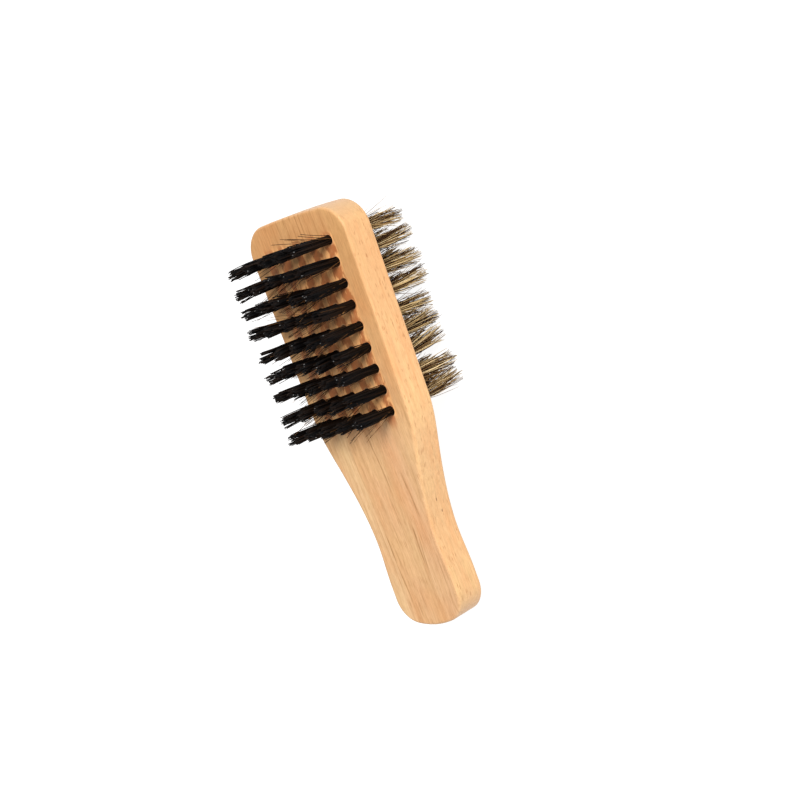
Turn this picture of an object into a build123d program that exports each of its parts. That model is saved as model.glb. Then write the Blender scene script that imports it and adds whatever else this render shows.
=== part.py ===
from build123d import *
import os

# Double-sided beard brush: a wooden bat with nine rows of five bristle tufts on each face,
# stiff bristles on the front and soft ones on the back. X is the width, Y the long axis
# with the head towards +Y, and Z the way the stiff bristles point. The brush stands on the
# tips of its soft bristles at Z = 0, with the origin under the middle of its length.
# All sizes are in millimetres.

# Wooden body
BRUSH_LENGTH = 130.0
BODY_THICKNESS = 10.5
HEAD_WIDTH = 43.6  # widest, just below the head's corners
SHOULDER_WIDTH = 41.8  # where the straight sides of the head end
NECK_WIDTH = 36.0  # where the shoulder's curve turns into the waist's
WAIST_WIDTH = 26.0
GRIP_END_WIDTH = 27.4  # parallel from here to its corners
HEAD_CORNER_RADIUS = 9.0
GRIP_CORNER_RADIUS = 8.5
HEAD_CROWN = 0.9  # how far the middle of the head's end stands beyond its corners
GRIP_CROWN = 3.4  # the same at the handle's end
EDGE_RADIUS = 0.9

# Stations along the body, measured from the end of the handle
GRIP_END_STATION = 13.0
WAIST_STATION = 26.0
NECK_STATION = 54.0
LAST_ROW_STATION = 67.0
SHOULDER_STATION = 69.0
HEAD_WIDEST_STATION = 117.0

# Holes for the tufts, drilled blind from each face
COLUMNS = 5
ROWS = 9
COLUMN_PITCH = 6.8
ROW_PITCH = 6.6
HOLE_RADIUS = 1.5
HOLE_DEPTH = 4.0
DRILL_POINT_DEPTH = 0.45

# Anchors: lengths of flat wire, driven across the holes so that their ends bite the wood
ANCHOR_LENGTH = 3.8
ANCHOR_HEIGHT = 1.4
ANCHOR_THICKNESS = 0.35
ANCHOR_FLOOR = 0.7  # thickness of the folded bristles under the anchor

# Tufts: bundles of bristles folded over an anchor
STIFF_LENGTH = 17.2  # free length above the front face
STIFF_TIP_RADIUS = 2.3
SOFT_LENGTH = 20.4  # free length below the back face
SOFT_TIP_RADIUS = 2.9
TUFT_CLEARANCE = 0.05
FOLD_RADIUS = 0.8  # rounding of the bundle at the bottom of its hole
TIP_RADIUS = 0.5  # rounding of the bundle at its tip
SPREAD_HEIGHT = 1.0  # height above the wood where the bundle begins to spread

# Places worked out from the sizes above
back_z = SOFT_LENGTH
front_z = SOFT_LENGTH + BODY_THICKNESS
grip_end_y = -BRUSH_LENGTH / 2
head_end_y = BRUSH_LENGTH / 2
last_row_y = grip_end_y + LAST_ROW_STATION
field_centre_y = last_row_y + (ROWS - 1) / 2 * ROW_PITCH
tuft_radius = HOLE_RADIUS - TUFT_CLEARANCE
anchor_z = -HOLE_DEPTH + ANCHOR_FLOOR + ANCHOR_HEIGHT / 2

# Both face planes have their Z out of the wood and their Y towards the head
front_plane = Plane(origin=(0, 0, front_z), x_dir=(1, 0, 0), z_dir=(0, 0, 1))
back_plane = Plane(origin=(0, 0, back_z), x_dir=(-1, 0, 0), z_dir=(0, 0, -1))


def outline_point(width, station):
    """A point on the right side of the body's outline."""
    return (width / 2, grip_end_y + station)


def make_anchor(mode=Mode.ADD):
    """One anchor, placed below the origin of a face plane."""
    with Locations((0, 0, anchor_z)):
        return Box(ANCHOR_LENGTH, ANCHOR_THICKNESS, ANCHOR_HEIGHT, mode=mode)


def make_tuft(length, tip_radius):
    """One bundle of bristles about the Z axis, with the wood's face at Z = 0."""
    with BuildPart() as tuft:
        with BuildSketch(Plane.XZ):
            with BuildLine():
                Line((0, length), (0, -HOLE_DEPTH))
                Line((0, -HOLE_DEPTH), (tuft_radius - FOLD_RADIUS, -HOLE_DEPTH))
                fold = JernArc(
                    start=(tuft_radius - FOLD_RADIUS, -HOLE_DEPTH),
                    tangent=(1, 0),
                    radius=FOLD_RADIUS,
                    arc_size=90,
                )
                shank = Line(fold @ 1, (tuft_radius, SPREAD_HEIGHT))
                TangentArc(shank @ 1, (tip_radius, length - TIP_RADIUS), tangent=(0, 1))
                tip = JernArc(
                    start=(tip_radius, length - TIP_RADIUS),
                    tangent=(0, 1),
                    radius=TIP_RADIUS,
                    arc_size=90,
                )
                Line(tip @ 1, (0, length))
            make_face()
        revolve(axis=Axis.Z)
        make_anchor(Mode.SUBTRACT)
    return tuft.part


def export_rows(piece, face_plane, name):
    """One node for each row across the brush, numbered from the head's end."""
    for row in range(ROWS):
        row_y = last_row_y + (ROWS - 1 - row) * ROW_PITCH
        with BuildPart() as row_pieces:
            with Locations(face_plane * Pos(0, row_y)):
                with GridLocations(COLUMN_PITCH, 0, COLUMNS, 1):
                    add(piece)
        row_pieces.part.label = f"{name}_row_{row + 1}"
        export_step(row_pieces.part, f"parts/{name}_row_{row + 1}.step")


os.makedirs("parts", exist_ok=True)

# The cutter for one hole: the drill, and the slot that the anchor's ends press
with BuildPart() as hole_cutter:
    Cylinder(HOLE_RADIUS, HOLE_DEPTH, align=(Align.CENTER, Align.CENTER, Align.MAX))
    with Locations((0, 0, -HOLE_DEPTH)):
        Cone(
            0,
            HOLE_RADIUS,
            DRILL_POINT_DEPTH,
            align=(Align.CENTER, Align.CENTER, Align.MAX),
        )
    make_anchor()

# ---------------------------------------------------------------- wooden body
side_lean = (HEAD_WIDTH - SHOULDER_WIDTH) / 2 / (HEAD_WIDEST_STATION - SHOULDER_STATION)
corner_width = HEAD_WIDTH + 2 * side_lean * (BRUSH_LENGTH - HEAD_WIDEST_STATION)
head_corner = outline_point(corner_width, BRUSH_LENGTH - HEAD_CROWN)
shoulder = outline_point(SHOULDER_WIDTH, SHOULDER_STATION)
grip_side = outline_point(GRIP_END_WIDTH, GRIP_END_STATION)
grip_corner = outline_point(GRIP_END_WIDTH, GRIP_CROWN)

with BuildPart() as brush_body:
    with BuildSketch(Plane.XY.offset(back_z)) as outline:
        with BuildLine():
            TangentArc((0, head_end_y), head_corner, tangent=(1, 0))
            Line(head_corner, shoulder)
            Spline(
                shoulder,
                outline_point(NECK_WIDTH, NECK_STATION),
                outline_point(WAIST_WIDTH, WAIST_STATION),
                grip_side,
                tangents=[(-side_lean, -1), (0, -1)],
            )
            Line(grip_side, grip_corner)
            TangentArc((0, grip_end_y), grip_corner, tangent=(1, 0))
            mirror(about=Plane.YZ)
        make_face()
        fillet(outline.vertices().group_by(Axis.Y)[-1], HEAD_CORNER_RADIUS)
        fillet(outline.vertices().group_by(Axis.Y)[0], GRIP_CORNER_RADIUS)
    extrude(amount=BODY_THICKNESS)
    fillet(brush_body.faces().filter_by(Axis.Z).edges(), EDGE_RADIUS)
    for face_plane in (front_plane, back_plane):
        with Locations(face_plane * Pos(0, field_centre_y)):
            with GridLocations(COLUMN_PITCH, ROW_PITCH, COLUMNS, ROWS):
                add(hole_cutter.part, mode=Mode.SUBTRACT)
brush_body.part.label = "brush_body"
export_step(brush_body.part, "parts/brush_body.step")

# ---------------------------------------------------------------- tufts and anchors
with BuildPart() as anchor:
    make_anchor()

export_rows(make_tuft(STIFF_LENGTH, STIFF_TIP_RADIUS), front_plane, "stiff_tufts")
export_rows(make_tuft(SOFT_LENGTH, SOFT_TIP_RADIUS), back_plane, "soft_tufts")
export_rows(anchor.part, front_plane, "stiff_anchors")
export_rows(anchor.part, back_plane, "soft_anchors")
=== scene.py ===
import math
from types import SimpleNamespace

import bpy
import numpy as np
from mathutils import Matrix, Vector


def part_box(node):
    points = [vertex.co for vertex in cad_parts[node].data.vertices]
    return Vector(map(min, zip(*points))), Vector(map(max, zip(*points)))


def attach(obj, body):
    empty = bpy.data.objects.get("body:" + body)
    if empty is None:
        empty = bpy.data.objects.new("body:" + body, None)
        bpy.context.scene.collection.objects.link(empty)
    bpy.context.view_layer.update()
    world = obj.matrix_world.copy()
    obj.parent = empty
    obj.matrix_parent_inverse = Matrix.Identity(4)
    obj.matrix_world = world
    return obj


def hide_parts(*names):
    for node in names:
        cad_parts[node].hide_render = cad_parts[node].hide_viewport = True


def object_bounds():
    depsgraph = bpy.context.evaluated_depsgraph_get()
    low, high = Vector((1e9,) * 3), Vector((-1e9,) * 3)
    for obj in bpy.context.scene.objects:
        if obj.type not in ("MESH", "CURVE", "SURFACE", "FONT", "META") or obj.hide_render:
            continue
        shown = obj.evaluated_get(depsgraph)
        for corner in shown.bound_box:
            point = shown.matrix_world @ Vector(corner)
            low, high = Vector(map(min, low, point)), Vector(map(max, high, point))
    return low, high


# Looks for a double-sided beard brush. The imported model's wooden body and wire anchors are
# kept and given materials. Each row of tuft solids is replaced by the same row made of
# single bristles, folded over its anchors. X is the width, Y the length with the head
# towards +Y, and Z the way that the stiff bristles point.

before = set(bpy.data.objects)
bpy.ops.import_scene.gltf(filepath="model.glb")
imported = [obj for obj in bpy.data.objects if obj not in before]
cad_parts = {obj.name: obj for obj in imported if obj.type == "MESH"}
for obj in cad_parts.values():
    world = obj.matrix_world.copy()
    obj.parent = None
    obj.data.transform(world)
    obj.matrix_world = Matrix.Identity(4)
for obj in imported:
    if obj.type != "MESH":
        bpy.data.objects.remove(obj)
cad_low, cad_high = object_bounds()

MM = 0.001
MM_PER_METRE = 1000.0
ROWS = 9
COLUMNS = 5
COLUMN_PITCH = 6.8  # of the tufts across the brush, in millimetres
BODY = "root"  # the row has no joints, so everything rides on one body
SEED = 41

# Where things are, from the frame
body_low, body_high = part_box("brush_body")
FRONT_Z = body_high.z
BACK_Z = body_low.z

# Camera: it looks down on the side and the front face, rolled so that the head is at
# the top
CAMERA_AZIMUTH = math.radians(99.4)
CAMERA_ELEVATION = math.radians(42.3)
CAMERA_ROLL = math.radians(116.3)
CAMERA_DISTANCE = 0.58
CAMERA_LENS_MM = 87.5
AIM_RIGHT = 0.0076  # the brush stands left of the middle of the picture and above it
AIM_UP = 0.0053

# Studio
FLOOR_HALF_SIZE = 3.0
FLOOR_GREY = 0.24
FLOOR_GLOW = 0.93
KEY_AZIMUTH = math.radians(124)
KEY_ELEVATION = math.radians(49)
KEY_DISTANCE = 1.1
KEY_DIAMETER = 0.50
KEY_WATTS = 14.4
KEY_COLOUR = (1.0, 0.985, 0.96)
SURROUND_STRENGTH = 0.45


# ------------------------------------------------------------------ node helpers
class Nodes:
    """Builds one material's nodes with few words."""

    def __init__(self, name):
        self.material = bpy.data.materials.new(name)
        self.material.use_nodes = True
        self.tree = self.material.node_tree
        self.shader = self.tree.nodes["Principled BSDF"]

    def put(self, socket, value):
        if isinstance(value, bpy.types.NodeSocket):
            self.tree.links.new(value, socket)
        elif value is not None:
            socket.default_value = value

    def surface(self, inputs):
        """Sets or links inputs of the surface shader."""
        for key, value in inputs.items():
            self.put(self.shader.inputs[key], value)

    def node(self, kind, inputs=None, **settings):
        made = self.tree.nodes.new("ShaderNode" + kind)
        for key, value in settings.items():
            setattr(made, key, value)
        for key, value in (inputs or {}).items():
            self.put(made.inputs[key], value)
        return made

    def math(self, operation, a, b=None, c=None, clamp=False):
        made = self.node("Math", operation=operation, use_clamp=clamp)
        for socket, value in zip(made.inputs, (a, b, c)):
            self.put(socket, value)
        return made.outputs[0]

    def linear(self, value, factor, offset):
        return self.math("MULTIPLY_ADD", value, factor, offset)

    def product(self, first, *others):
        for other in others:
            first = self.math("MULTIPLY", first, other)
        return first

    def strongest(self, first, *others):
        for other in others:
            first = self.math("MAXIMUM", first, other)
        return first

    def gap(self, a, b):
        """How far apart two numbers are."""
        return self.math("ABSOLUTE", self.math("SUBTRACT", a, b))

    def band(self, value, low, high):
        """0 at low and beyond, 1 at high and beyond, and smooth between."""
        inputs = {"Value": value, "From Min": low, "From Max": high}
        made = self.node("MapRange", inputs, interpolation_type="SMOOTHSTEP")
        return made.outputs["Result"]

    def vector(self, operation, a, b):
        made = self.node("VectorMath", operation=operation)
        self.put(made.inputs[0], a)
        self.put(made.inputs[1], b)
        return made.outputs["Value" if operation == "DOT_PRODUCT" else 0]

    def split(self, vector):
        return self.node("SeparateXYZ", {"Vector": vector}).outputs

    def joined(self, x, y):
        return self.node("CombineXYZ", {"X": x, "Y": y}).outputs[0]

    def millimetres(self):
        """Position in the object's own frame, in millimetres."""
        where = self.node("TexCoord").outputs["Object"]
        return self.vector("MULTIPLY", where, (MM_PER_METRE,) * 3)

    def noise(self, coordinates, scale=1.0, detail=2.0, roughness=0.5):
        inputs = {
            "Vector": coordinates,
            "Scale": scale,
            "Detail": detail,
            "Roughness": roughness,
        }
        return self.node("TexNoise", inputs).outputs["Fac"]

    def ramp(self, value, stops):
        """stops are (position, colour or grey value) pairs."""
        made = self.node("ValToRGB", {"Fac": value})
        elements = made.color_ramp.elements
        while len(elements) < len(stops):
            elements.new(0.5)
        for element, (position, colour) in zip(elements, stops):
            if not isinstance(colour, tuple):
                colour = (colour,) * 3
            element.position = position
            element.color = (*colour, 1.0)
        return made.outputs["Color"]

    def mix(self, factor, a, b, blend="MIX"):
        made = self.node("Mix", data_type="RGBA", blend_type=blend)
        self.put(made.inputs[0], factor)
        for index, value in ((6, a), (7, b)):
            if isinstance(value, tuple):
                value = (*value, 1.0)
            self.put(made.inputs[index], value)
        return made.outputs[2]

    def bump(self, height, strength, distance):
        inputs = {"Height": height, "Strength": strength, "Distance": distance}
        return self.node("Bump", inputs).outputs["Normal"]


# ------------------------------------------------------------------ wood
# Places and lengths in the wood are in millimetres. Colours are linear light.

# Noises: cycles for each millimetre across, along and through the body, an offset that
# keeps one from repeating another, detail and roughness
WOOD_NOISES = {
    "wander": ((0.05, 0.012, 0.02), (0, 0, 0), 2.0, 0.5),
    "sway": ((0.22, 0.035, 0.08), (7, 0, 3), 2.0, 0.5),
    "gate": ((0.5, 0.035, 0.2), (3, 9, 1), 2.0, 0.5),
    "broken": ((3.0, 0.17, 1.0), (0, 0, 0), 3.0, 0.5),
    "fibre": ((5.0, 0.16, 5.0), (0, 0, 0), 3.0, 0.6),
    "strand": ((2.1, 0.20, 2.1), (5, 1, 2), 2.0, 0.6),
    "streak": ((1.7, 0.045, 1.7), (0, 4, 8), 2.0, 0.5),
    "patch": ((0.12, 0.05, 0.3), (2, 2, 5), 3.0, 0.5),
    "fleck": ((1.5, 0.55, 1.5), (4, 7, 7), 3.0, 0.65),
    "side_streak": ((0.0, 0.10, 1.1), (0, 3, 6), 3.0, 0.6),
    "sparse": ((0.0, 0.09, 0.12), (6, 6, 1), 2.0, 0.5),
    "pores": ((3.2, 0.5, 3.2), (0, 0, 0), 2.0, 0.5),
    # The next three noises make the painted shade between the tufts patchy and set its
    # stripes
    "tuft_shade": ((0.50, 0.10, 0.1), (1, 5, 2), 3.0, 0.6),
    "phase": ((0.35, 0.25, 0.2), (3, 1, 6), 2.0, 0.5),
    "stripe_light": ((0.95, 0.22, 0.2), (8, 2, 2), 3.0, 0.6),
    # This noise sets where along the edges the painted highlight shows
    "edge_patches": ((0.25, 0.25, 0.25), (0, 0, 0), 3.0, 0.5),
}

# Growth rings: they lean off the length and the thickness, and two noises move them, each
# given by its reach and the shift that centres it
RING_LEAN_ALONG = 0.03
RING_LEAN_THROUGH = 0.06
RING_WANDER = (5.0, -4.0)
RING_SWAY = (1.4, -0.7)
RING_CHANGE_ALONG = 0.006  # how slowly a ring's tone changes along the brush
RING_TONE_NOISE = (0.45, 4.0, 0.62)  # scale, detail and roughness across the rings
THIN_LINE_NOISE = (1.3, 1.0, 0.5)

# Broad stripes, from cream at the left edge through pinkish tan to greyish tan
STRIPES_WIDTH = 44.0
STRIPES = (
    (0.00, (0.66, 0.375, 0.165)),
    (0.14, (0.70, 0.416, 0.200)),
    (0.27, (0.735, 0.447, 0.222)),
    (0.32, (0.70, 0.385, 0.175)),
    (0.42, (0.72, 0.400, 0.190)),
    (0.55, (0.69, 0.405, 0.190)),
    (0.68, (0.71, 0.400, 0.200)),
    (0.80, (0.66, 0.375, 0.180)),
    (1.00, (0.74, 0.425, 0.200)),
)

# Fine variation of tone: a noise, the share of it that shows, and a tint for its low,
# middle and high values
FINE_TONES = (
    ("fibre", 0.62, ((0.25, 0.82), (0.5, 1.0), (0.78, 1.12))),
    ("strand", 0.60, ((0.28, (0.86, 0.82, 0.77)), (0.5, 1.0), (0.75, 1.07))),
    ("streak", 0.65, ((0.3, (0.90, 0.87, 0.83)), (0.6, 1.0), (0.8, 1.05))),
    ("patch", 1.0, ((0.3, (1.00, 0.91, 0.85)), (0.5, 1.0), (0.7, (1.01, 1.05, 1.02)))),
    ("fleck", 1.0, ((0.32, (0.94, 0.92, 0.90)), (0.5, 1.0), (0.68, 1.05))),
)

# Lines of late wood on the faces: place across the grain, middle along the brush, half of
# the length, strength, and drift across the grain for each millimetre along it
GRAIN_LINES = (
    (-8.5, -44.0, 17.0, 1.00, -0.020),
    (-8.8, -18.0, 13.0, 0.35, 0.0),
    (-6.95, -42.0, 7.0, 0.70, -0.070),
    (-7.0, -13.0, 6.0, 0.50, -0.030),
    (-6.05, -58.0, 6.0, 0.55, -0.070),
    (-4.3, -35.0, 4.5, 0.55, 0.0),
    (-3.3, -57.0, 6.0, 0.65, 0.0),
    (-3.1, -9.0, 5.0, 0.35, 0.0),
    (-0.9, -30.0, 9.0, 0.55, 0.0),
    (0.35, -12.0, 14.0, 0.95, -0.030),
    (4.15, -39.0, 9.0, 1.00, 0.020),
    (5.0, -42.0, 8.0, 0.80, 0.085),
    (8.6, -24.0, 10.0, 1.00, -0.035),
    (9.75, -53.0, 14.0, 0.60, 0.0),
    (13.2, -21.0, 6.0, 0.50, 0.100),
    (-15.5, 58.0, 22.0, 0.35, 0.0),
    (-12.9, 61.0, 13.0, 0.30, 0.0),
    (-9.4, 60.0, 18.0, 0.45, 0.0),
    (-5.8, 62.0, 14.0, 0.60, 0.0),
    (-2.9, 61.0, 16.0, 0.75, 0.0),
    (0.8, 61.0, 15.0, 0.85, 0.0),
    (3.1, 62.0, 12.0, 0.90, 0.0),
    (5.6, 61.0, 14.0, 1.00, 0.0),
    (7.4, 63.0, 13.0, 0.90, 0.0),
    (9.8, 61.0, 16.0, 0.80, 0.0),
    (12.6, 60.0, 14.0, 0.60, 0.0),
    (15.6, 52.0, 26.0, 0.60, 0.0),
)
GRAIN_LINE_EDGES = (0.42, 0.08)  # off the line's middle: where it fades out and is full
GRAIN_LINE_FADE = 0.35  # the share of a line's half length over which it is full
THIN_LINE_STRENGTH = 0.45

# Short dashes: pitch along and across the grain, radius in cells, and share of the cells
SIDE_FLECKS = (4.2, 0.72, 0.25, 0.24)
SMALL_SIDE_FLECKS = (3.0, 0.55, 0.24, 0.14)
FACE_FLECKS = (6.5, 0.75, 0.25, 0.30)
SIDE_FLECK_LEAN = 0.05
OTHER_CELLS = 40.0  # a shift that gives the small flecks cells of their own

# Tiny pin knots on the side of the waist: y, z and half of the length
PIN_KNOTS = ((-27.7, 26.2, 0.75), (-31.6, 25.0, 0.6))
PIN_KNOT_HALF_HEIGHT = 0.34

DEEP_RING = (0.58, 0.300, 0.125)
HEAD_TONE = (0.545, 0.288, 0.116)
LATE_WOOD = (0.39, 0.185, 0.065)
SIDE_STREAK = (0.60, 0.29, 0.11)
SIDE_FLECK = (0.40, 0.16, 0.05)
FACE_FLECK = (0.42, 0.20, 0.075)
END_GRAIN = (0.61, 0.41, 0.26)
END_PORE = (0.45, 0.27, 0.14)
PIN_KNOT = (0.20, 0.085, 0.03)
# Painted shadow of the tufts on the wood between them: dark in line with the columns,
# lighter between them
SHADOW_STRIPE_DARK = (0.40, 0.128, 0.040)
SHADOW_STRIPE_LIGHT = (0.90, 0.450, 0.175)
# A painted highlight along the rounded edges
EDGE_HIGHLIGHT = (0.86, 0.60, 0.34)
# Tints, which multiply the colour
PALER_FACE = (0.98, 1.04, 1.13)
PALER_SIDE = (1.03, 1.09, 1.08)
# Painted light on the handle's end face, which stands in shade
HANDLE_END_PAINTED_LIGHT = (1.22, 1.22, 1.22)
# Painted shade on the head's corners, which face the lamp
CORNER_PAINTED_SHADE = (0.90, 0.93, 0.91)
# Painted light on the margin left of the tufts, which lifts their shadow there
MARGIN_PAINTED_LIGHT = (1.30, 1.28, 1.24)

# Where a change along the brush, or across it, starts and where it is full
HEAD_ZONE = (-10.0, 62.0)
PALER_ZONE = (22.0, -15.0)
# Where the painted light on the handle's end starts and where it is full
PAINTED_LIGHT_END_ZONE = (-20.0, -58.0)
# Where the painted shade on the head's corners starts and where it is full
SHADED_CORNER_ZONE = (30.0, 56.0)
# Where the painted shade between the tufts ends: beside them, on the handle's side and on
# the head's side
TUFT_SHADE_SIDES = (16.2, 15.0)
TUFT_SHADE_HANDLE_SIDE = (-5.0, 0.5)
TUFT_SHADE_HEAD_SIDE = (58.5, 55.5)
# Where the painted light on the margin left of the tufts starts and where it is full
LIT_MARGIN_ACROSS = (-15.8, -18.6)
LIT_MARGIN_HANDLE_SIDE = (-4.0, 2.0)
LIT_MARGIN_HEAD_SIDE = (55.0, 48.0)

TUFT_SHADE_REACH = 0.010  # metres, over which the tufts shade the wood
SHADOW_STRIPE_PHASE = (4.5, -1.75)  # wander of the painted shadow stripes and its shift, in radians
EDGE_RADIUS = 0.0009


class Wood(Nodes):
    """Pale steamed beech: lines along the faces, short flecks on the sides."""

    def __init__(self):
        super().__init__("beech")
        self.place = self.millimetres()
        self.x, self.y, self.z = self.split(self.place)
        self.normal = self.node("NewGeometry").outputs["Normal"]
        # How much a surface faces sideways, along the brush, and up or down
        facing = self.vector("MULTIPLY", self.normal, self.normal)
        self.side, self.end, self.face = self.split(facing)
        self.fibre = self.field("fibre")
        self.ring = self.growth_rings()
        along = self.math("MULTIPLY", self.y, RING_CHANGE_ALONG)
        self.ring_place = self.joined(self.ring, along)

    def field(self, name):
        """One of the wood's noises."""
        stretch, offset, detail, roughness = WOOD_NOISES[name]
        stretched = self.vector("MULTIPLY", self.place, stretch)
        moved = self.vector("ADD", stretched, offset)
        return self.noise(moved, 1.0, detail, roughness)

    def growth_rings(self):
        """Place across the growth rings, which lie across the width."""
        ring = self.linear(self.y, RING_LEAN_ALONG, self.x)
        ring = self.linear(self.z, RING_LEAN_THROUGH, ring)
        wander = self.linear(self.field("wander"), *RING_WANDER)
        sway = self.linear(self.field("sway"), *RING_SWAY)
        return self.math("ADD", self.math("ADD", ring, wander), sway)

    def base_colour(self):
        """Broad stripes with deeper rings, more orange towards the head."""
        stripes = self.ramp(self.linear(self.ring, 1 / STRIPES_WIDTH, 0.5), STRIPES)
        ring_tone = self.noise(self.ring_place, *RING_TONE_NOISE)
        deeper = self.mix(self.band(ring_tone, 0.38, 0.68), stripes, DEEP_RING)
        colour = self.mix(self.product(self.face, 0.42), stripes, deeper)
        share = self.linear(self.face, 0.6, 0.4)
        share = self.product(share, self.band(self.y, *HEAD_ZONE), 0.88)
        return self.mix(share, colour, HEAD_TONE)

    def grain_line(self, ring, middle, half_length, strength, drift):
        line_start = drift * middle - ring
        off = self.linear(self.y, -drift, self.math("ADD", self.ring, line_start))
        across = self.band(self.math("ABSOLUTE", off), *GRAIN_LINE_EDGES)
        full_length = half_length * GRAIN_LINE_FADE
        inside = self.band(self.gap(self.y, middle), half_length, full_length)
        return self.product(across, inside, strength)

    def late_wood(self):
        """Mask of the lines of late wood: the placed ones, then faint random ones."""
        thin_noise = self.noise(self.ring_place, *THIN_LINE_NOISE)
        thin = self.band(self.gap(thin_noise, 0.5), 0.03, 0.0)
        gate = self.band(self.field("gate"), 0.42, 0.62)
        thin = self.product(thin, gate, THIN_LINE_STRENGTH)
        lines = [self.grain_line(*line) for line in GRAIN_LINES]
        broken = self.band(self.field("broken"), 0.30, 0.55)
        not_side = self.math("SUBTRACT", 1.0, self.side)
        return self.product(self.strongest(*lines, thin), broken, not_side)

    def fine_tones(self, colour):
        """Fibre, strands, streaks and patches. The handle is a little paler."""
        for name, share, tints in FINE_TONES:
            noise = self.fibre if name == "fibre" else self.field(name)
            colour = self.mix(share, colour, self.ramp(noise, tints), "MULTIPLY")
        paler = self.mix(self.side, PALER_FACE, PALER_SIDE)
        return self.mix(self.band(self.y, *PALER_ZONE), colour, paler, "MULTIPLY")

    def dashes(self, across, along_pitch, across_pitch, radius, share):
        """Short dashes along the grain, in a share of the cells of a stretched pattern."""
        along = self.math("DIVIDE", self.y, along_pitch)
        place = self.joined(along, self.math("DIVIDE", across, across_pitch))
        inputs = {"Vector": place, "Scale": 1.0, "Randomness": 1.0}
        cells = self.node("TexVoronoi", inputs, voronoi_dimensions="2D").outputs
        near = self.band(cells["Distance"], radius, radius * 0.4)
        chance = self.node("SeparateColor", {"Color": cells["Color"]}).outputs[0]
        return self.product(near, self.math("LESS_THAN", chance, share))

    def side_flecks(self):
        """Mask of the flecks on the sides, closer together in some places."""
        across = self.linear(self.y, SIDE_FLECK_LEAN, self.z)
        moved = self.math("ADD", across, OTHER_CELLS)
        large = self.dashes(across, *SIDE_FLECKS)
        flecks = self.strongest(large, self.dashes(moved, *SMALL_SIDE_FLECKS))
        sparse = self.band(self.field("sparse"), 0.32, 0.56)
        return self.product(flecks, self.band(self.side, 0.4, 0.9), sparse)

    def flecked(self, colour, side_flecks):
        streak = self.product(self.band(self.field("side_streak"), 0.50, 0.72), self.side)
        colour = self.mix(self.product(streak, 0.24), colour, SIDE_STREAK)
        colour = self.mix(self.product(side_flecks, 0.76), colour, SIDE_FLECK)
        face_flecks = self.dashes(self.x, *FACE_FLECKS)
        on_face = self.band(self.face, 0.4, 0.9)
        return self.mix(self.product(face_flecks, on_face, 0.42), colour, FACE_FLECK)

    def end_grain_and_painted_light(self, colour):
        """Deeper end grain with small pores; painted light on the handle's shaded end and
        painted shade on the head's bright corners.
        """
        pores = self.band(self.field("pores"), 0.62, 0.72)
        end_colour = self.mix(pores, END_GRAIN, END_PORE)
        colour = self.mix(self.product(self.end, 0.60), colour, end_colour)
        # Painted light on the handle's end face, which stands in shade
        painted_light_end = self.product(self.end, self.band(self.y, *PAINTED_LIGHT_END_ZONE))
        colour = self.mix(painted_light_end, colour, HANDLE_END_PAINTED_LIGHT, "MULTIPLY")
        # Painted shade on the head's corners, which face the lamp
        corner = self.product(self.side, self.end, 4.0)
        corner = self.product(corner, self.band(self.y, *SHADED_CORNER_ZONE))
        return self.mix(corner, colour, CORNER_PAINTED_SHADE, "MULTIPLY")

    def pin_knot(self, middle_y, middle_z, half_length):
        along = self.math("SUBTRACT", self.y, middle_y)
        up = self.math("SUBTRACT", self.z, middle_z)
        away = self.joined(
            self.math("DIVIDE", along, half_length),
            self.math("DIVIDE", up, PIN_KNOT_HALF_HEIGHT),
        )
        length = self.node("VectorMath", {0: away}, operation="LENGTH").outputs["Value"]
        right_side = self.math("GREATER_THAN", self.x, 0.0)
        return self.product(self.band(length, 1.1, 0.3), right_side)

    def shade_between_tufts(self, colour):
        """Painted shade of the tufts on the wood between them: an ambient-occlusion tint in
        stripes that follow the columns of tufts, like their shadows. The far margin beside
        them is painted lighter, to lift the shadow there."""
        phase = self.linear(self.field("phase"), *SHADOW_STRIPE_PHASE)
        turn = self.linear(self.x, 2 * math.pi / COLUMN_PITCH, phase)
        in_line = self.math("COSINE", turn)
        around = {"Distance": TUFT_SHADE_REACH}
        shade = self.node("AmbientOcclusion", around, samples=8, only_local=False)
        openness = self.linear(self.field("tuft_shade"), 1.4, -0.72)
        openness = self.math("ADD", shade.outputs["AO"], openness)
        openness = self.linear(in_line, -0.22, openness)
        # Painted shade: darkest where the tufts crowd the wood, like their shadows
        tuft_shade = self.product(
            self.band(openness, 1.02, 0.60),
            self.face,
            self.band(self.math("ABSOLUTE", self.x), *TUFT_SHADE_SIDES),
            self.band(self.y, *TUFT_SHADE_HANDLE_SIDE),
            self.band(self.y, *TUFT_SHADE_HEAD_SIDE),
            0.90,
        )
        # Painted shadow stripes in line with the columns of tufts, lighter between them
        stripe_light = self.linear(in_line, -0.19, self.field("stripe_light"))
        shade_colour = self.mix(self.band(stripe_light, 0.42, 0.62), SHADOW_STRIPE_DARK, SHADOW_STRIPE_LIGHT)
        colour = self.mix(tuft_shade, colour, shade_colour)
        # Painted light on the margin left of the tufts, which lifts their shadow there
        lit_margin = self.product(
            self.band(self.x, *LIT_MARGIN_ACROSS),
            self.band(self.y, *LIT_MARGIN_HEAD_SIDE),
            self.band(self.y, *LIT_MARGIN_HANDLE_SIDE),
            self.face,
        )
        return self.mix(lit_margin, colour, MARGIN_PAINTED_LIGHT, "MULTIPLY")

    def highlit_polished_edges(self):
        """Mask of the rounded edges, in patches: a painted highlight along them, where the
        wood is also a little smoother.
        """
        rounded = self.node("Bevel", {"Radius": EDGE_RADIUS}, samples=6)
        bend = self.vector("DOT_PRODUCT", rounded.outputs["Normal"], self.normal)
        edge_patch_mask = self.band(self.field("edge_patches"), 0.3, 0.6)
        return self.product(self.band(bend, 0.995, 0.93), edge_patch_mask)


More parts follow.
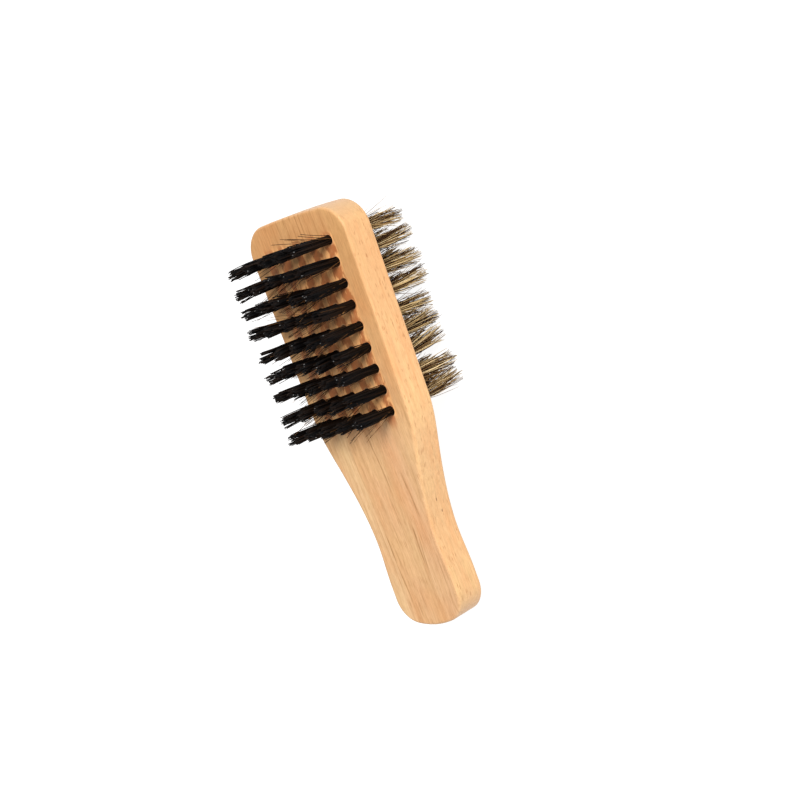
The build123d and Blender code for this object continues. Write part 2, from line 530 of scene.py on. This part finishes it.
def wood_material():
    n = Wood()
    late_wood = n.late_wood()
    flecks = n.side_flecks()
    knots = n.strongest(*[n.pin_knot(*knot) for knot in PIN_KNOTS])
    edge_highlight_and_polish = n.highlit_polished_edges()

    colour = n.mix(n.product(late_wood, 0.80), n.base_colour(), LATE_WOOD)
    colour = n.flecked(n.fine_tones(colour), flecks)
    colour = n.mix(n.product(knots, 0.8), n.end_grain_and_painted_light(colour), PIN_KNOT)
    # Painted highlight along the rounded edges, laid over the painted shade between the
    # tufts
    colour = n.mix(n.product(edge_highlight_and_polish, 0.34), n.shade_between_tufts(colour), EDGE_HIGHLIGHT)

    roughness = n.linear(n.fibre, 0.22, 0.40)
    roughness = n.linear(edge_highlight_and_polish, -0.10, roughness)
    height = n.linear(late_wood, -0.5, n.product(n.fibre, 0.6))
    height = n.linear(flecks, -0.5, height)
    height = n.math("SUBTRACT", height, knots)
    n.surface(
        {
            "Base Color": colour,
            "Roughness": roughness,
            "Specular IOR Level": 0.30,
            "Normal": n.bump(height, 0.3, 0.08 * MM),
        }
    )
    return n.material


# ------------------------------------------------------------------ bristles and wire
CUT_END = 0.985  # how far along a bristle its cut end begins
# A painted glint, light grey, on the cut ends of the darkest bristles
TIP_GLINT = (0.15, 0.15, 0.15)
GLINT_TONES = 0.018  # bristles darker in tone than this get a painted glint on their cut ends

# Colours from the darkest bristle's tone, 0, to the lightest one's, 1
STIFF_TONES = (
    (0.0, (0.0018, 0.0018, 0.0024)),
    (0.5, (0.0036, 0.0032, 0.0034)),
    (0.72, (0.0085, 0.0052, 0.0040)),
    (0.88, (0.020, 0.0095, 0.005)),
    (1.0, (0.23, 0.106, 0.038)),
)
SOFT_TONES = (
    (0.00, (0.024, 0.009, 0.003)),
    (0.26, (0.060, 0.027, 0.010)),
    (0.40, (0.175, 0.096, 0.038)),
    (0.58, (0.340, 0.210, 0.088)),
    (0.80, (0.550, 0.385, 0.175)),
    (1.00, (0.760, 0.580, 0.320)),
)


def bristle_material(name, tones, roughness, shine, tip_colour, tip_share):
    """Bristles coloured by the mesh's own "tone" of each strand and "along" its length."""
    n = Nodes(name)
    tone = n.node("Attribute", attribute_name="tone").outputs["Fac"]
    along = n.node("Attribute", attribute_name="along").outputs["Fac"]
    place = n.millimetres()
    mottle = n.noise(n.vector("MULTIPLY", place, (3.0, 3.0, 0.7)), 1.0, 3.0)
    mottled = n.math("ADD", tone, n.linear(mottle, 0.20, -0.10), clamp=True)
    tip = n.product(n.band(along, 0.5, 1.0), tip_share)
    colour = n.mix(tip, n.ramp(mottled, tones), tip_colour)
    # Painted glint on the cut ends of the darkest bristles
    at_end = n.math("GREATER_THAN", along, CUT_END)
    glint = n.product(at_end, n.math("LESS_THAN", tone, GLINT_TONES))
    scales = n.noise(n.vector("MULTIPLY", place, (9.0, 9.0, 2.5)), 1.0, 2.0)
    n.surface(
        {
            "Base Color": n.mix(glint, colour, TIP_GLINT),
            "Roughness": n.linear(scales, 0.25, roughness),
            "Specular IOR Level": shine,
            "Normal": n.bump(scales, 0.25, 0.02 * MM),
        }
    )
    return n.material


def wire_material():
    """Drawn flat wire: fine lines along it and a dull tarnish."""
    n = Nodes("anchor_wire")
    place = n.millimetres()
    draw = n.noise(n.vector("MULTIPLY", place, (0.5, 14.0, 14.0)), 1.0, 2.0)
    tarnish = n.band(n.noise(place, 0.9, 3.0), 0.4, 0.7)
    n.surface(
        {
            "Base Color": n.mix(tarnish, (0.62, 0.60, 0.56), (0.42, 0.38, 0.33)),
            "Metallic": 1.0,
            "Roughness": n.linear(draw, 0.3, 0.22),
            "Normal": n.bump(draw, 0.3, 0.02 * MM),
        }
    )
    return n.material


# ------------------------------------------------------------------ shape of the bristles
# Inside a hole
ANCHOR_LEVEL = 2.6 * MM  # depth of the middle of the anchor
UNDER_LEVEL = 3.62 * MM  # depth of the folded strands, under the anchor
UNDER_SCATTER = 0.16 * MM
ANCHOR_GAP = 0.34 * MM  # nearest a strand comes to the anchor's middle plane
ROOT_RADIUS = 1.32 * MM
HOLE_POINTS = 6  # points of a folded strand's path from face to face

RING_SIDES = 5
LEG_STEPS = (0.12, 0.34, 0.56, 0.78, 1.0)  # shares of the free length, above the wood
BEND = 1.35  # power by which a bristle bends more near its tip
DISC_JITTER = 0.05  # share of a disc's radius
CLUMP_COUNT = 9
CLUMP_PULL = 0.88  # how far the tips are drawn to their clump's middle
LEAST_PULL = 0.4  # as a share of that
CLUMP_SAY = 0.55  # how much of a bristle's length its clump decides
STRAY_LENGTHS = (0.75, 0.98)
STRAY_THINNESS = 0.62
DARKEST_TONES = (0.0, 0.12)
RADIUS_RANGE = (0.8, 1.1)
SIDE_MARGIN = 0.4 * MM  # between the tips and the sides of the CAD model's box
TIP_MARGIN = 0.2 * MM  # the same at its top and bottom

# Where the stiff strays fan out: row, columns from the left, share of the bristles, and
# the middle and spread of the lean across and along the brush
STIFF_FANS = (
    (1, (4, 5), 0.07, ((0.0, 0.02), (0.195, 0.030))),
    (2, (2, 3), 0.10, ((0.0, 0.03), (-0.20, 0.03))),
    (3, (3, 4), 0.24, ((0.0, 0.04), (-0.16, 0.06))),
    (4, (2,), 0.06, ((0.0, 0.02), (0.20, 0.02))),
    (4, (3, 4), 0.18, ((0.0, 0.04), (-0.13, 0.05))),
    (5, (3, 4), 0.20, ((0.0, 0.04), (-0.14, 0.05))),
    (6, (5,), 0.12, ((0.0, 0.03), (-0.14, 0.02))),
    (6, (2, 3), 0.16, ((0.0, 0.04), (-0.13, 0.05))),
    (7, (2, 3), 0.20, ((0.0, 0.04), (-0.15, 0.05))),
    (8, (2, 3, 4), 0.18, ((0.0, 0.04), (-0.15, 0.05))),
    (9, (4, 5), 0.11, ((0.0, 0.03), (-0.23, 0.03))),
)

# The habit of each side's bristles. A lean is the tip's shift as a share of the free
# length, and rows are numbered from the head's end.
STIFF = SimpleNamespace(
    name="stiff",
    strands=36,
    face=FRONT_Z,
    out=1.0,  # the way they point along Z
    length=cad_high.z - FRONT_Z,
    radius=0.145 * MM,
    tip_taper=0.85,  # the tip's radius as a share of the root's
    spread=1.42,  # width of the tuft's tip as a share of its root's
    wave=0.20 * MM,  # random bend of a bristle and scatter of its tip
    splay=0.05,  # lean of the outer columns away from the middle one
    tuft_lean=0.022,  # random lean of each tuft
    lean=-0.012,  # towards the head, of every tuft
    right_lean=0.055,  # the same, growing from the left column to the right one
    # Lean of each row, and the share of it that has gone by the right column
    row_leans=(-0.055, -0.001, 0.022, 0.062, -0.029, 0.007, 0.042, 0.003, 0.037),
    lean_fade=1.0,
    row_lengths=(1.0, 1.01, 1.02, 1.03, 1.02, 1.0, 0.99, 1.0, 1.02),
    row_tones=(0.0,) * ROWS,  # added to the tone of each row
    shortest=0.83,
    rounding=0.05,  # how much shorter the bristles at a tuft's rim are
    tone_spread=0.5,
    lightest=0.8,
    stray_share=0.04,
    stray_lean=((0.0, 0.05), (-0.08, 0.06)),
    stray_tones=(0.84, 1.0),
    fans=STIFF_FANS,
)
SOFT = SimpleNamespace(
    name="soft",
    strands=40,
    face=BACK_Z,
    out=-1.0,
    length=BACK_Z - cad_low.z,
    radius=0.140 * MM,
    tip_taper=0.45,
    spread=2.15,
    wave=0.46 * MM,
    splay=0.055,
    tuft_lean=0.035,
    lean=0.0,
    right_lean=0.0,
    row_leans=(-0.04, 0.05, 0.01, 0.01, -0.05, 0.03, 0.09, -0.01, 0.12),
    lean_fade=0.0,
    row_lengths=(0.93, 1.0, 1.0, 1.0, 1.0, 1.0, 1.0, 0.99, 1.04),
    row_tones=(0.16, 0.02, -0.05, 0.02, -0.13, -0.08, 0.08, 0.03, 0.03),
    shortest=0.84,
    rounding=0.02,
    tone_spread=0.56,
    lightest=1.0,
    stray_share=0.17,
    stray_lean=((0.0, 0.06), (0.0, 0.13)),
    stray_tones=(0.2, 0.7),
    fans=(),
)


def disc_points(rng, count, radius):
    """Points spread evenly over a disc by the golden angle, then jittered."""
    index = np.arange(count) + 0.5
    angle = index * math.pi * (3 - math.sqrt(5)) + rng.uniform(0, 2 * math.pi)
    distance = radius * np.sqrt(index / count)
    points = np.stack([distance * np.cos(angle), distance * np.sin(angle)], 1)
    return points + rng.normal(0, radius * DISC_JITTER, points.shape)


def leg_paths(rng, kind, roots, room, way, strays):
    """Paths from the wood to the tips, one for each root, relative to the tuft's centre,
    with a tone and a relative thickness for each. A path's last axis is (across the brush,
    along it, height above the wood). room is how far the tuft may reach: its lowest and
    highest corner, way its own lean, and strays the share of strays and their lean."""
    count = len(roots)
    stray_share, stray_lean = strays
    tips = roots * kind.spread
    clumps = disc_points(rng, CLUMP_COUNT, ROOT_RADIUS * kind.spread)
    nearest = np.argmin(np.linalg.norm(tips[:, None] - clumps[None], axis=2), axis=1)
    pull = rng.uniform(LEAST_PULL, 1.0, count)[:, None] * CLUMP_PULL
    tips = tips + (clumps[nearest] - tips) * pull
    tips = tips + rng.normal(0, kind.wave, tips.shape)

    clump_length = rng.uniform(kind.shortest, 1.0, CLUMP_COUNT)[nearest]
    own_length = rng.uniform(kind.shortest, 1.0, count)
    lengths = CLUMP_SAY * clump_length + (1 - CLUMP_SAY) * own_length
    outer = np.linalg.norm(roots, axis=1) / ROOT_RADIUS
    lengths = kind.length * lengths * (1 - kind.rounding * outer**2)
    clump_tone = rng.uniform(0.0, 1.0, CLUMP_COUNT)
    tones = clump_tone[nearest] + rng.normal(0, kind.tone_spread, count)

    stray = rng.random(count) < stray_share
    middle_lean, lean_spread = np.array(stray_lean).T
    stray_way = rng.normal(0, 1.0, (count, 2)) * lean_spread + middle_lean
    tips = tips + stray[:, None] * stray_way * kind.length
    lengths = np.where(stray, lengths * rng.uniform(*STRAY_LENGTHS, count), lengths)
    lean = rng.normal(0, kind.tuft_lean, 2) + way
    tips = np.clip(tips + lean * kind.length, *room)

    bow = rng.normal(0, kind.wave, (count, 2))
    steps = np.array(LEG_STEPS)
    ease = np.where(stray[:, None], steps, steps**BEND)
    arch = np.sin(steps * math.pi)
    side = (
        roots[:, None]
        + (tips - roots)[:, None] * ease[:, :, None]
        + bow[:, None] * arch[None, :, None]
    )
    height = lengths[:, None] * steps[None]
    path = np.concatenate([side, height[:, :, None]], 2)
    tones = np.where(tones < 0, rng.uniform(*DARKEST_TONES, count), tones)
    stray_tones = rng.uniform(*kind.stray_tones, count)
    tones = np.where(stray, stray_tones, np.clip(tones, 0, kind.lightest))
    return path, tones, np.where(stray, STRAY_THINNESS, 1.0)


def folded_strands(rng, kind, room, way, strays):
    """Every strand of one tuft: from one tip down into the hole, under the anchor and up
    to the other tip. Returns the paths, and the tone and relative thickness of each
    point."""
    count = kind.strands
    roots = disc_points(rng, count * 2, ROOT_RADIUS)
    order = np.argsort(roots[:, 1])
    near, far = roots[order[:count]], roots[order[count:]]
    near = near[np.argsort(near[:, 0])]
    far = far[np.argsort(far[:, 0])]
    both = np.concatenate([near, far])
    legs, tones, thinness = leg_paths(rng, kind, both, room, way, strays)
    under = rng.uniform(-UNDER_SCATTER, UNDER_SCATTER, count)
    reach = rng.uniform(0.45, 0.95, count)

    def inside(root, sign):
        """The path in the hole: at the face, beside the anchor and below it. The strands
        draw together a little on the way down."""
        face = np.concatenate([root, np.zeros((count, 1))], 1)
        beside = sign * np.maximum(np.abs(root[:, 1] * 0.9), ANCHOR_GAP)
        level = np.stack([root[:, 0] * 0.95, beside, np.full(count, -ANCHOR_LEVEL)], 1)
        low = np.stack([root[:, 0] * 0.9, beside * reach, -UNDER_LEVEL + under], 1)
        return face, level, low

    near_face, near_level, near_low = inside(near, -1)
    far_face, far_level, far_low = inside(far, 1)
    down = [legs[:count, step] for step in reversed(range(len(LEG_STEPS)))]
    up = [legs[count:, step] for step in range(len(LEG_STEPS))]
    path = [*down, near_face, near_level, near_low, far_low, far_level, far_face, *up]
    half = len(path) // 2

    def each_point(values):
        return np.repeat(np.stack([values[:count], values[count:]], 1), half, axis=1)

    return np.stack(path, 1), each_point(tones), each_point(thinness)


def tube_mesh(name, paths, radii, tones, along):
    """One mesh of tapering tubes. paths is (strands, points, 3) in metres."""
    strands, points, _ = paths.shape
    way = np.gradient(paths, axis=1)
    way /= np.linalg.norm(way, axis=2, keepdims=True)
    across = np.array([1.0, 0.0, 0.0]) - way * way[:, :, :1]
    across /= np.linalg.norm(across, axis=2, keepdims=True)
    over = np.cross(way, across)
    angle = np.arange(RING_SIDES)[:, None] * 2 * math.pi / RING_SIDES
    ring = np.cos(angle) * across[:, :, None] + np.sin(angle) * over[:, :, None]
    vertices = (paths[:, :, None] + radii[:, :, None, None] * ring).reshape(-1, 3)

    index = np.arange(len(vertices)).reshape(strands, points, RING_SIDES)
    here, ahead = index[:, :-1], index[:, 1:]
    quads = [here, np.roll(here, -1, 2), np.roll(ahead, -1, 2), ahead]
    quads = np.stack(quads, 3).reshape(-1, 4)
    caps = [*index[:, 0, ::-1].tolist(), *index[:, -1].tolist()]
    mesh = bpy.data.meshes.new(name)
    mesh.from_pydata(vertices.tolist(), [], [*quads.tolist(), *caps])
    smooth = [True] * len(quads) + [False] * len(caps)
    mesh.polygons.foreach_set("use_smooth", smooth)

    all_along = np.tile(along, strands)
    for attribute, values in (("tone", tones.ravel()), ("along", all_along)):
        layer = mesh.attributes.new(attribute, "FLOAT", "POINT")
        each_vertex = np.repeat(values, RING_SIDES).astype(np.float32)
        layer.data.foreach_set("value", each_vertex)
    mesh.update()
    return mesh


def tuft_centres(node):
    """The holes of a row from left to right, from its CAD node."""
    low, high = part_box(node)
    radius = (high.y - low.y) / 2
    left, right = low.x + radius, high.x - radius
    return [(x, (low.y + high.y) / 2) for x in np.linspace(left, right, COLUMNS)]


def row_strands(rng, kind, row, node):
    """Paths of all the strands of a row, with the tone and thickness of each point."""
    fans = {}
    for fan_row, columns, share, lean in kind.fans:
        if fan_row == row:
            fans.update(dict.fromkeys(columns, (share, lean)))
    low = np.array(cad_low[:2]) + SIDE_MARGIN
    high = np.array(cad_high[:2]) - SIDE_MARGIN
    tufts = []
    for column, centre in enumerate(tuft_centres(node)):
        to_right = column / (COLUMNS - 1)
        row_lean = kind.row_leans[row - 1] * (1 - kind.lean_fade * to_right)
        row_lean += kind.right_lean * to_right
        way = (kind.splay * (2 * to_right - 1), kind.lean + row_lean)
        room = (low - centre, high - centre)
        strays = fans.get(column + 1, (kind.stray_share, kind.stray_lean))
        path, tone, thinness = folded_strands(rng, kind, room, way, strays)
        free = path[:, :, 2] > 0
        path[:, :, 2] *= np.where(free, kind.row_lengths[row - 1], 1.0)
        path = path * (1.0, 1.0, kind.out) + (*centre, kind.face)
        tufts.append((path, tone, thinness))
    paths, tones, thinness = (np.concatenate(parts) for parts in zip(*tufts))
    low_z, high_z = cad_low.z + TIP_MARGIN, cad_high.z - TIP_MARGIN
    paths[:, :, 2] = np.clip(paths[:, :, 2], low_z, high_z)
    tones = np.clip(tones + kind.row_tones[row - 1], 0.0, 1.0)
    return paths, tones, thinness


def bristle_row(kind, row, material):
    """One row of tufts, in place of its CAD node."""
    node = f"{kind.name}_tufts_row_{row}"
    rng = np.random.default_rng([SEED, row, int(kind.out > 0)])
    paths, tones, thinness = row_strands(rng, kind, row, node)
    radius = kind.radius * rng.uniform(*RADIUS_RANGE, len(paths))
    # How far each point of a strand is from the wood, from 0 to 1 at a tip
    along = np.array([*reversed(LEG_STEPS), *[0.0] * HOLE_POINTS, *LEG_STEPS])
    taper = 1 - (1 - kind.tip_taper) * along**2
    radii = radius[:, None] * taper[None] * thinness
    mesh = tube_mesh(f"{kind.name}_bristles_row_{row}", paths, radii, tones, along)
    mesh.materials.append(material)
    piece = bpy.data.objects.new(mesh.name, mesh)
    bpy.context.scene.collection.objects.link(piece)
    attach(piece, BODY)
    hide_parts(node)


# ------------------------------------------------------------------ the object
def give_material(node, material):
    node.data.materials.clear()
    node.data.materials.append(material)


wood = wood_material()
wire = wire_material()
stiff_look = bristle_material(
    "stiff_bristle",
    STIFF_TONES,
    roughness=0.32,
    shine=0.09,
    tip_colour=(0.006, 0.005, 0.005),
    tip_share=0.3,
)
soft_look = bristle_material(
    "soft_bristle",
    SOFT_TONES,
    roughness=0.42,
    shine=0.05,
    tip_colour=(0.10, 0.055, 0.022),
    tip_share=0.18,
)

give_material(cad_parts["brush_body"], wood)
for row in range(1, ROWS + 1):
    give_material(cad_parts[f"stiff_anchors_row_{row}"], wire)
    give_material(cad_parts[f"soft_anchors_row_{row}"], wire)
    bristle_row(STIFF, row, stiff_look)
    bristle_row(SOFT, row, soft_look)


# ------------------------------------------------------------------ floor, light, camera
def make_floor():
    """A plain white floor that glows a little, so that shadows on it stay faint."""
    size = FLOOR_HALF_SIZE
    corners = [(-size, -size, 0), (size, -size, 0), (size, size, 0), (-size, size, 0)]
    mesh = bpy.data.meshes.new("floor")
    mesh.from_pydata(corners, [], [(0, 1, 2, 3)])
    floor = bpy.data.objects.new("floor", mesh)
    bpy.context.scene.collection.objects.link(floor)
    n = Nodes("floor_white")
    n.surface(
        {
            "Base Color": (FLOOR_GREY, FLOOR_GREY, FLOOR_GREY, 1),
            "Roughness": 0.9,
            "Specular IOR Level": 0.0,
            "Emission Color": (1, 1, 1, 1),
            "Emission Strength": FLOOR_GLOW,
        }
    )
    mesh.materials.append(n.material)


def direction(azimuth, elevation):
    """The way towards a viewer at that azimuth and elevation."""
    flat = math.cos(elevation)
    return Vector(
        (math.sin(azimuth) * flat, -math.cos(azimuth) * flat, math.sin(elevation))
    )


def make_key_light():
    """A soft round light that faces the middle of the brush."""
    data = bpy.data.lights.new("key", "AREA")
    data.shape = "DISK"
    data.size = KEY_DIAMETER
    data.energy = KEY_WATTS
    data.color = KEY_COLOUR
    light = bpy.data.objects.new("key", data)
    bpy.context.scene.collection.objects.link(light)
    way = direction(KEY_AZIMUTH, KEY_ELEVATION)
    light.location = (cad_low + cad_high) / 2 + way * KEY_DISTANCE
    light.rotation_mode = "QUATERNION"
    light.rotation_quaternion = (-way).to_track_quat("-Z", "Y")


def make_camera():
    """The camera, rolled about its own axis so that the head is at the top."""
    back = direction(CAMERA_AZIMUTH, CAMERA_ELEVATION)
    level_right = Vector((0, 0, 1)).cross(back).normalized()
    level_up = back.cross(level_right)
    up = level_up * math.cos(CAMERA_ROLL) + level_right * math.sin(CAMERA_ROLL)
    right = up.cross(back)
    data = bpy.data.cameras.new("camera")
    data.lens = CAMERA_LENS_MM
    data.clip_start = 0.02
    data.clip_end = 50
    camera = bpy.data.objects.new("camera", data)
    bpy.context.scene.collection.objects.link(camera)
    aim = (body_low + body_high) / 2 + right * AIM_RIGHT + up * AIM_UP
    place = aim + back * CAMERA_DISTANCE
    turned = Matrix((right, up, back)).transposed().to_4x4()
    camera.matrix_world = Matrix.Translation(place) @ turned
    bpy.context.scene.camera = camera


make_floor()
make_key_light()
make_camera()

world = bpy.data.worlds.new("studio")
world.use_nodes = True
surround = world.node_tree.nodes["Background"]
surround.inputs["Color"].default_value = (1, 1, 1, 1)
surround.inputs["Strength"].default_value = SURROUND_STRENGTH
bpy.context.scene.world = world
bpy.context.scene.view_settings.view_transform = "Standard"
